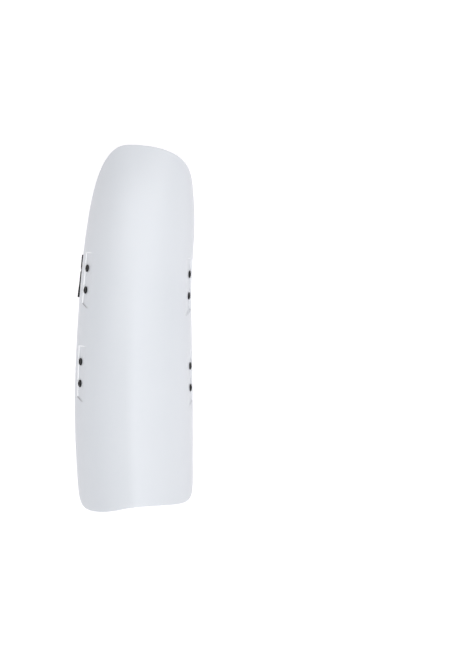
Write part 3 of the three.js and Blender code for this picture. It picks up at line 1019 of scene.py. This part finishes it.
def shellPlastic():
    finish = Finish("shellPlastic", IOR=1.49)
    cloudy = finish.noise(9, detail=4).between(0.3, 0.7)
    fine = finish.noise(160, detail=2)
    hue = finish.blend(cloudy, (0.678, 0.705, 0.747), (0.698, 0.722, 0.762))
    plain = finish.blend(fine.between(0.25, 0.8) * 0.35, hue, (0.703, 0.725, 0.762))
    paintedShading = finish.node("ShaderNodeAttribute", {"attribute_name": "paintedShading"}, output=2)
    # painted highlight: the lit back and top walls of the pockets turn pale
    wornAndPaintedHighlight = finish.blend(paintedShading.between(0, 1), plain, (0.865, 0.875, 0.9))
    # painted shade: the bottom walls of the pockets turn dark
    finish.set(Base_Color=finish.blend((0 - paintedShading).between(0, 1), wornAndPaintedHighlight, (0.48, 0.485, 0.5)))
    rubbed = finish.noise(60, detail=5, where=finish.stretched((1, 0.12, 1))).between(0.58, 0.75)
    finish.set(Roughness=0.4 + cloudy * 0.05 + rubbed * 0.07 - fine * 0.04)
    peel = finish.noise(900, detail=2) * 0.6 + finish.noise(260, detail=1) * 0.4
    finish.bump(peel, 0.00003, 0.6)
    return finish.material


def rivetEnamel():
    finish = Finish("rivetEnamel", IOR=1.45, Specular_IOR_Level=0.12)
    speck = finish.noise(1400, detail=3)
    wornAndPaintedHighlight = finish.noise(350, detail=5).between(0.55, 0.72)
    finish.set(Base_Color=finish.blend(wornAndPaintedHighlight, (0.006, 0.006, 0.007), (0.016, 0.016, 0.018)))
    finish.set(Roughness=0.3 + wornAndPaintedHighlight * 0.12 + speck * 0.06)
    finish.bump(speck, 0.00002, 0.5)
    return finish.material


def elasticKnit():
    finish = Finish("elasticKnit", Sheen_Weight=0.25, Sheen_Roughness=0.4)
    u, v = finish.weave()
    rib = (u * (2 * math.pi / strap["ribPitch"]) + quarterTurn).sine() * 0.5 + 0.5
    leg = ((u / strap["ribPitch"]).fraction() - 0.5).size()
    loops = ((v / strap["loopPitch"] + leg * strap["loopLean"]) * (2 * math.pi)).sine() * 0.5 + 0.5
    fuzz = finish.noise(2600, detail=3)
    # paler on the rib crests and loops, darker in the grooves between them: painted shade that follows the
    # knit's relief, mixed with random fuzz
    pale = rib * 0.5 + loops * 0.25 + fuzz * 0.25
    finish.set(Base_Color=finish.blend(pale, (0.006, 0.006, 0.007), (0.026, 0.026, 0.029)))
    finish.set(Roughness=0.9 - loops * 0.12 - fuzz * 0.1)
    finish.bump(loops * 0.7 + fuzz * 0.3, 0.00022)
    return finish.material


def tabTwill():
    finish = Finish("tabTwill", Sheen_Weight=0.2, Sheen_Roughness=0.4)
    u, v = finish.weave()
    chevron = ((u / tab["chevron"]).fraction() - 0.5).size()
    twill = ((v / tab["ribPitch"] + chevron * tab["chevronLean"]) * (2 * math.pi)).sine() * 0.5 + 0.5
    yarn = ((u / tab["yarnPitch"]) * (2 * math.pi)).sine() * 0.5 + 0.5
    fuzz = finish.noise(2200, detail=3)
    # paler on the raised twill and yarns, darker in the grooves between them: painted shade that follows the
    # weave's relief, mixed with random fuzz
    pale = twill * 0.5 + yarn * 0.2 + fuzz * 0.3
    finish.set(Base_Color=finish.blend(pale, (0.007, 0.007, 0.008), (0.03, 0.03, 0.033)))
    finish.set(Roughness=0.85 - twill * 0.15)
    finish.bump(twill * 0.6 + yarn * 0.25 + fuzz * 0.15, 0.0002)
    return finish.material


def hookNylon():
    finish = Finish("hookNylon")
    grain = finish.noise(1800, detail=3)
    finish.set(Base_Color=finish.blend(grain, (0.006, 0.006, 0.007), (0.02, 0.02, 0.022)))
    finish.set(Roughness=0.45 + grain * 0.2)
    finish.bump(grain, 0.00004)
    return finish.material


def seamThread():
    finish = Finish("seamThread", Sheen_Weight=0.2)
    twist = finish.noise(5000, detail=2, distortion=1.5)
    finish.set(Base_Color=finish.blend(twist, (0.015, 0.015, 0.016), (0.05, 0.05, 0.055)))
    finish.set(Roughness=0.6 + twist * 0.2)
    finish.bump(twist, 0.00006)
    return finish.material


def paleFloor():
    finish = Finish(
        "paleFloor", Roughness=0.9, Specular_IOR_Level=0,
        Emission_Color=(1, 0.975, 1, 1), Emission_Strength=light["floorGlow"],
    )
    grain = finish.noise(30, detail=2)
    finish.set(Base_Color=finish.blend(grain, (0.49, 0.49, 0.49), (0.51, 0.51, 0.51)))
    return finish.material


# Camera, light and floor

view = {
    "place": (0.1004, -0.00095, 2.2),  # straight above, beside the guard as in the photo of the pair
    "lens": 114.1,
    "sightEnd": 100,
}

light = {
    "dome": 0.2,
    "floorSize": 60,
    "floorGlow": 0.68,  # a lit table, so that the ground is white up to the guard
    "suns": [
        {"strength": 1.54, "from": (0, 0, 1), "softness": 80},
        {"strength": 1.32, "from": (0, -0.62, 0.78), "softness": 18},
        {"strength": 0.66, "from": (0.55, 0.6, 0.58), "softness": 40},
    ],
}


def makeStudio():
    scene = bpy.context.scene
    scene.view_settings.view_transform = "Standard"
    camera = addObject("camera", bpy.data.cameras.new("camera"))
    camera.location = view["place"]
    camera.data.lens = view["lens"]
    camera.data.clip_end = view["sightEnd"]
    scene.camera = camera
    world = bpy.data.worlds.new("dome")
    world.use_nodes = True
    background = world.node_tree.nodes["Background"]
    background.inputs["Color"].default_value = (1, 1, 1, 1)
    background.inputs["Strength"].default_value = light["dome"]
    scene.world = world
    for sun in light["suns"]:
        lamp = addObject("sun", bpy.data.lights.new("sun", "SUN"))
        lamp.data.energy = sun["strength"]
        lamp.data.angle = math.radians(sun["softness"])
        lamp.rotation_euler = Vector(sun["from"]).to_track_quat("Z", "Y").to_euler()
    half = light["floorSize"] / 2
    corners = [(x, y, -gap) for x, y in ((-half, -half), (half, -half), (half, half), (-half, half))]
    floor = pieceFrom("floor", corners, [(0, 1, 2, 3)])
    floor.data.materials.append(paleFloor())


def dress(piece, slot, *nodes):
    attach(piece, "root")
    if nodes:
        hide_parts(*nodes)


makeStudio()
print("studio set:", len(light["suns"]), "suns")

shellPiece = makeShell()
drillHoles(shellPiece)
shellPiece.data.materials.clear()
shellPiece.data.materials.append(shellPlastic())
dress(shellPiece, "shell_plastic", "shell")
print("shell drilled:", len(shellPiece.data.polygons), "faces")

enamel = rivetEnamel()
rowTree = rivetRowTree()
for placeName, place in pocketFrames.items():
    level, side = placeName[:5], placeName[5:].lower()
    row = makeRivets("rivets" + placeName[0].upper() + placeName[1:], place, rowTree, enamel)
    dress(row, "rivet_metal", *("rivet_%s_%s_%s" % (level, side, end) for end in ("top", "bottom")))
print("rivets set")

elastic, twill, nylon, thread = elasticKnit(), tabTwill(), hookNylon(), seamThread()
hookTree, seamTree = hookFieldTree(), stitchTree()
for level in straps:
    band = makeStrap(level)
    band.data.materials.append(elastic)
    dress(band, "strap_elastic", "strap_" + level.lower())
    flap = makeTab(level)
    flap.data.materials.append(twill)
    dress(flap, "tab_webbing", "tab_" + level.lower())
    dress(makeHookPatch(level, hookTree, nylon), "hook_tape", "hook_patch_" + level.lower())
    dress(makeStitches("patchSeam" + level, patchStitchLines(level), seamTree, thread), "strap_elastic")
    dress(makeStitches("tabSeam" + level, tabStitchLines(level), seamTree, thread), "tab_webbing")
    print("strap, tab and hook patch made:", level.lower())
